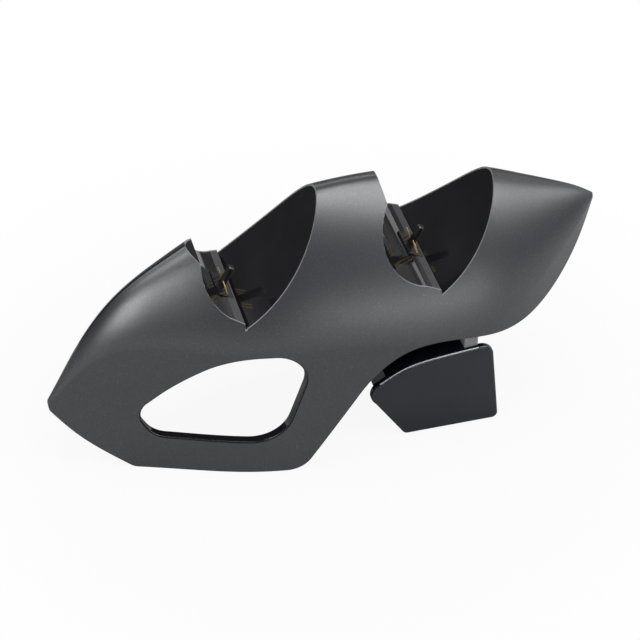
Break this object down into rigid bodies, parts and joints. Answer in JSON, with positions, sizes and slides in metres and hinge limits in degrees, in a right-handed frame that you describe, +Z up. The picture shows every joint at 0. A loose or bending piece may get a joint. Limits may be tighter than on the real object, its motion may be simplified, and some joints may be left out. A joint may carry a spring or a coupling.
{
  "type": "controller charging dock",
  "caption": "Long arched desk dock with a see-through eye in its front leg, a separate foot, and saddle pockets with spring contacts that hold and charge game controllers.",
  "frame": {"origin": "centre of the dock's outer box, on the surface it stands on", "axes": "+X from the nose to the tail, -Y towards the front with the eye opening, +Z up"},
  "size_m": [0.216, 0.067, 0.1132],
  "materials": {
    "shell_grey": "fine speckled satin grey",
    "liner_black": "gloss black",
    "trim_black": "gloss black",
    "plug_black": "satin black",
    "cover_black": "fine matt black",
    "foot_black": "gloss blue-black",
    "pad_rubber": "matt rubber",
    "light_smoke": "smoked clear plastic",
    "contact_gold": "gold-plated spring wire",
    "screw_steel": "zinc-plated steel",
    "socket_steel": "stamped steel",
    "board_green": "green solder mask",
    "component_black": "moulded black",
    "lead_red": "soft plastic insulation"
  },
  "bodies": {
    "root": {"left_seat": "liner_black", "right_seat": "liner_black", "left_backrest": "liner_black", "right_backrest": "liner_black", "left_plug": "plug_black", "right_plug": "plug_black", "left_contacts": "contact_gold", "right_contacts": "contact_gold", "left_contact_board": "board_green", "right_contact_board": "board_green", "left_leads": "lead_red", "right_leads": "lead_red", "shell": "shell_grey", "bottom_cover": "cover_black", "cover_screws": "screw_steel", "contact_screws": "screw_steel", "eye_trim": "trim_black", "light_strip": "light_smoke", "light_board": "board_green", "main_board": "board_green", "charge_parts": "component_black", "power_socket": "socket_steel", "board_screws": "screw_steel", "neck": "cover_black", "neck_screws": "screw_steel", "foot": "foot_black", "foot_pads": "pad_rubber", "foot_screws": "screw_steel"}
  },
  "joints": []
}
